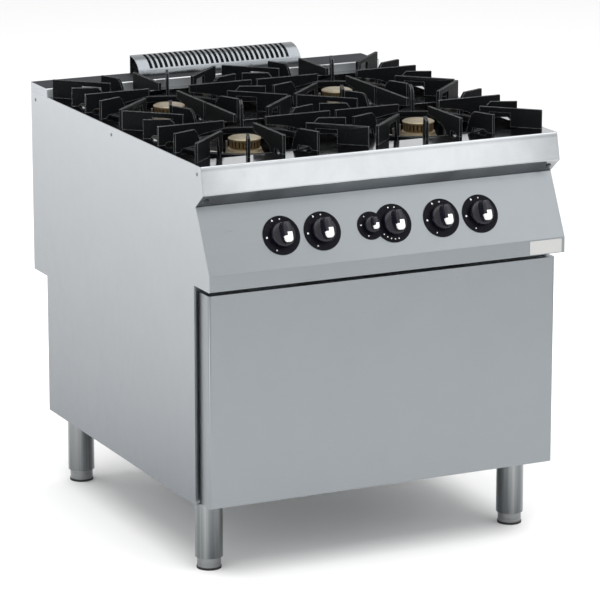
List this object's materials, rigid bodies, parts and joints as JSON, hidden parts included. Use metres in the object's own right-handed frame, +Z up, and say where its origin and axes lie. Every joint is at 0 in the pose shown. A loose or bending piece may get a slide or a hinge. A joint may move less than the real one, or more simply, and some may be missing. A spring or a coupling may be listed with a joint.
{
  "type": "commercial gas range",
  "caption": "Free-standing restaurant gas range: open burners under cast pan supports, a row of dial knobs, a drop-down oven door and a louvred flue, on adjustable legs.",
  "frame": {"origin": "on the floor, under the middle of the whole range including its knobs", "axes": "+X to the cook's right, +Y towards the back, +Z up"},
  "size_m": [0.8, 0.9424, 0.908],
  "materials": {
    "stainless_satin": "satin brushed stainless steel",
    "stainless_bright": "bright stainless steel, polished enough to mirror the supports",
    "stainless_dull": "dull mill-finish stainless steel",
    "oven_steel": "heat-stained steel",
    "pipe_steel": "dull pipe steel",
    "brass_fitting": "turned brass",
    "shelf_wire": "chromed wire",
    "pin_steel": "turned steel",
    "badge_white": "white enamel plate",
    "floor_iron": "black cast iron",
    "mineral_wool": "mineral wool",
    "seal_fibre": "woven seal",
    "cup_casting": "cast metal",
    "pilot_steel": "stainless tube",
    "bezel_black": "black dial plate with white marks",
    "knob_black": "black moulded plastic",
    "support_iron": "black enamelled cast iron, worn lighter on its edges",
    "crown_brass": "dull heat-stained brass",
    "foot_steel": "satin steel sleeve on a black rubber pad"
  },
  "bodies": {
    "cabinet": {"side_panel_left": "stainless_satin", "side_panel_right": "stainless_satin", "rear_panel_upper": "stainless_dull", "rear_panel_lower": "stainless_dull", "base_pan": "stainless_dull", "worktop": "stainless_bright", "flue_strip": "stainless_satin", "flue_grille": "stainless_satin", "flue_duct": "oven_steel", "control_panel": "stainless_satin", "front_beam": "stainless_dull", "knob_bezels": "bezel_black", "gas_taps": "brass_fitting", "gas_rail": "pipe_steel", "gas_supply_pipe": "pipe_steel", "gas_inlet": "brass_fitting", "badge_plate": "badge_white", "panel_screws": "pin_steel", "oven_face_frame": "stainless_dull", "oven_muffle": "oven_steel", "oven_lagging": "mineral_wool", "oven_floor_plate": "floor_iron", "oven_burner": "oven_steel", "shelf_racks": "oven_steel", "oven_shelf": "shelf_wire", "door_seal": "seal_fibre", "hinge_brackets": "stainless_dull", "burner_cups": "cup_casting", "pilot_sets": "pilot_steel", "leg_tubes": "stainless_satin"},
    "door": {"door_skin": "stainless_satin", "door_lagging": "mineral_wool", "door_liner": "stainless_dull", "door_grip": "stainless_dull", "door_clevises": "stainless_dull", "hinge_pins": "pin_steel"},
    "tap_rear_left": {"tap_spindle_rear_left": "pin_steel"},
    "knob_rear_left": {"knob_rear_left": "knob_black"},
    "tap_front_left": {"tap_spindle_front_left": "pin_steel"},
    "knob_front_left": {"knob_front_left": "knob_black"},
    "tap_selector": {"tap_spindle_selector": "pin_steel"},
    "knob_selector": {"knob_selector": "knob_black"},
    "tap_thermostat": {"tap_spindle_thermostat": "pin_steel"},
    "knob_thermostat": {"knob_thermostat": "knob_black"},
    "tap_front_right": {"tap_spindle_front_right": "pin_steel"},
    "knob_front_right": {"knob_front_right": "knob_black"},
    "tap_rear_right": {"tap_spindle_rear_right": "pin_steel"},
    "knob_rear_right": {"knob_rear_right": "knob_black"},
    "pan_support_front_left": {"pan_support_front_left": "support_iron"},
    "burner_crown_front_left": {"burner_crown_front_left": "crown_brass"},
    "pan_support_front_right": {"pan_support_front_right": "support_iron"},
    "burner_crown_front_right": {"burner_crown_front_right": "crown_brass"},
    "pan_support_rear_left": {"pan_support_rear_left": "support_iron"},
    "burner_crown_rear_left": {"burner_crown_rear_left": "crown_brass"},
    "pan_support_rear_right": {"pan_support_rear_right": "support_iron"},
    "burner_crown_rear_right": {"burner_crown_rear_right": "crown_brass"},
    "foot_front_left": {"foot_front_left": "foot_steel"},
    "foot_front_right": {"foot_front_right": "foot_steel"},
    "foot_rear_left": {"foot_rear_left": "foot_steel"},
    "foot_rear_right": {"foot_rear_right": "foot_steel"}
  },
  "joints": [
    {"name": "door_hinge", "type": "hinge", "parent": "cabinet", "child": "door", "pos_m": [0, -0.3938, 0.163], "axis": [1, 0, 0], "range_deg": [0, 90], "stiffness_Nm_per_rad": 16, "springref_deg": -25.78},
    {"name": "tap_push_rear_left", "type": "slide", "parent": "cabinet", "child": "tap_rear_left", "axis": [0, 0.8975, -0.441], "range_m": [0, 0.005], "stiffness_N_per_m": 800, "springref_m": -0.003},
    {"name": "knob_turn_rear_left", "type": "hinge", "parent": "tap_rear_left", "child": "knob_rear_left", "pos_m": [-0.229, -0.44662, 0.70751], "axis": [0, -0.8975, 0.441], "range_deg": [0, 150]},
    {"name": "tap_push_front_left", "type": "slide", "parent": "cabinet", "child": "tap_front_left", "axis": [0, 0.8975, -0.441], "range_m": [0, 0.005], "stiffness_N_per_m": 800, "springref_m": -0.003},
    {"name": "knob_turn_front_left", "type": "hinge", "parent": "tap_front_left", "child": "knob_front_left", "pos_m": [-0.139, -0.44662, 0.70751], "axis": [0, -0.8975, 0.441], "range_deg": [0, 150]},
    {"name": "tap_push_selector", "type": "slide", "parent": "cabinet", "child": "tap_selector", "axis": [0, 0.8975, -0.441], "range_m": [0, 0.005], "stiffness_N_per_m": 800, "springref_m": -0.003},
    {"name": "knob_turn_selector", "type": "hinge", "parent": "tap_selector", "child": "knob_selector", "pos_m": [-0.0315, -0.44662, 0.70751], "axis": [0, -0.8975, 0.441], "range_deg": [0, 90]},
    {"name": "tap_push_thermostat", "type": "slide", "parent": "cabinet", "child": "tap_thermostat", "axis": [0, 0.8975, -0.441], "range_m": [0, 0.005], "stiffness_N_per_m": 800, "springref_m": -0.003},
    {"name": "knob_turn_thermostat", "type": "hinge", "parent": "tap_thermostat", "child": "knob_thermostat", "pos_m": [0.019, -0.44662, 0.70751], "axis": [0, -0.8975, 0.441], "range_deg": [0, 240]},
    {"name": "tap_push_front_right", "type": "slide", "parent": "cabinet", "child": "tap_front_right", "axis": [0, 0.8975, -0.441], "range_m": [0, 0.005], "stiffness_N_per_m": 800, "springref_m": -0.003},
    {"name": "knob_turn_front_right", "type": "hinge", "parent": "tap_front_right", "child": "knob_front_right", "pos_m": [0.128, -0.44662, 0.70751], "axis": [0, -0.8975, 0.441], "range_deg": [0, 150]},
    {"name": "tap_push_rear_right", "type": "slide", "parent": "cabinet", "child": "tap_rear_right", "axis": [0, 0.8975, -0.441], "range_m": [0, 0.005], "stiffness_N_per_m": 800, "springref_m": -0.003},
    {"name": "knob_turn_rear_right", "type": "hinge", "parent": "tap_rear_right", "child": "knob_rear_right", "pos_m": [0.217, -0.44662, 0.70751], "axis": [0, -0.8975, 0.441], "range_deg": [0, 150]},
    {"name": "support_lift_front_left", "type": "slide", "parent": "cabinet", "child": "pan_support_front_left", "axis": [0, 0, 1], "range_m": [0, 0.1]},
    {"name": "crown_lift_front_left", "type": "slide", "parent": "cabinet", "child": "burner_crown_front_left", "axis": [0, 0, 1], "range_m": [0, 0.08]},
    {"name": "support_lift_front_right", "type": "slide", "parent": "cabinet", "child": "pan_support_front_right", "axis": [0, 0, 1], "range_m": [0, 0.1]},
    {"name": "crown_lift_front_right", "type": "slide", "parent": "cabinet", "child": "burner_crown_front_right", "axis": [0, 0, 1], "range_m": [0, 0.08]},
    {"name": "support_lift_rear_left", "type": "slide", "parent": "cabinet", "child": "pan_support_rear_left", "axis": [0, 0, 1], "range_m": [0, 0.1]},
    {"name": "crown_lift_rear_left", "type": "slide", "parent": "cabinet", "child": "burner_crown_rear_left", "axis": [0, 0, 1], "range_m": [0, 0.08]},
    {"name": "support_lift_rear_right", "type": "slide", "parent": "cabinet", "child": "pan_support_rear_right", "axis": [0, 0, 1], "range_m": [0, 0.1]},
    {"name": "crown_lift_rear_right", "type": "slide", "parent": "cabinet", "child": "burner_crown_rear_right", "axis": [0, 0, 1], "range_m": [0, 0.08]},
    {"name": "foot_adjust_front_left", "type": "slide", "parent": "cabinet", "child": "foot_front_left", "axis": [0, 0, -1], "range_m": [-0.015, 0.025]},
    {"name": "foot_adjust_front_right", "type": "slide", "parent": "cabinet", "child": "foot_front_right", "axis": [0, 0, -1], "range_m": [-0.015, 0.025]},
    {"name": "foot_adjust_rear_left", "type": "slide", "parent": "cabinet", "child": "foot_rear_left", "axis": [0, 0, -1], "range_m": [-0.015, 0.025]},
    {"name": "foot_adjust_rear_right", "type": "slide", "parent": "cabinet", "child": "foot_rear_right", "axis": [0, 0, -1], "range_m": [-0.015, 0.025]}
  ]
}
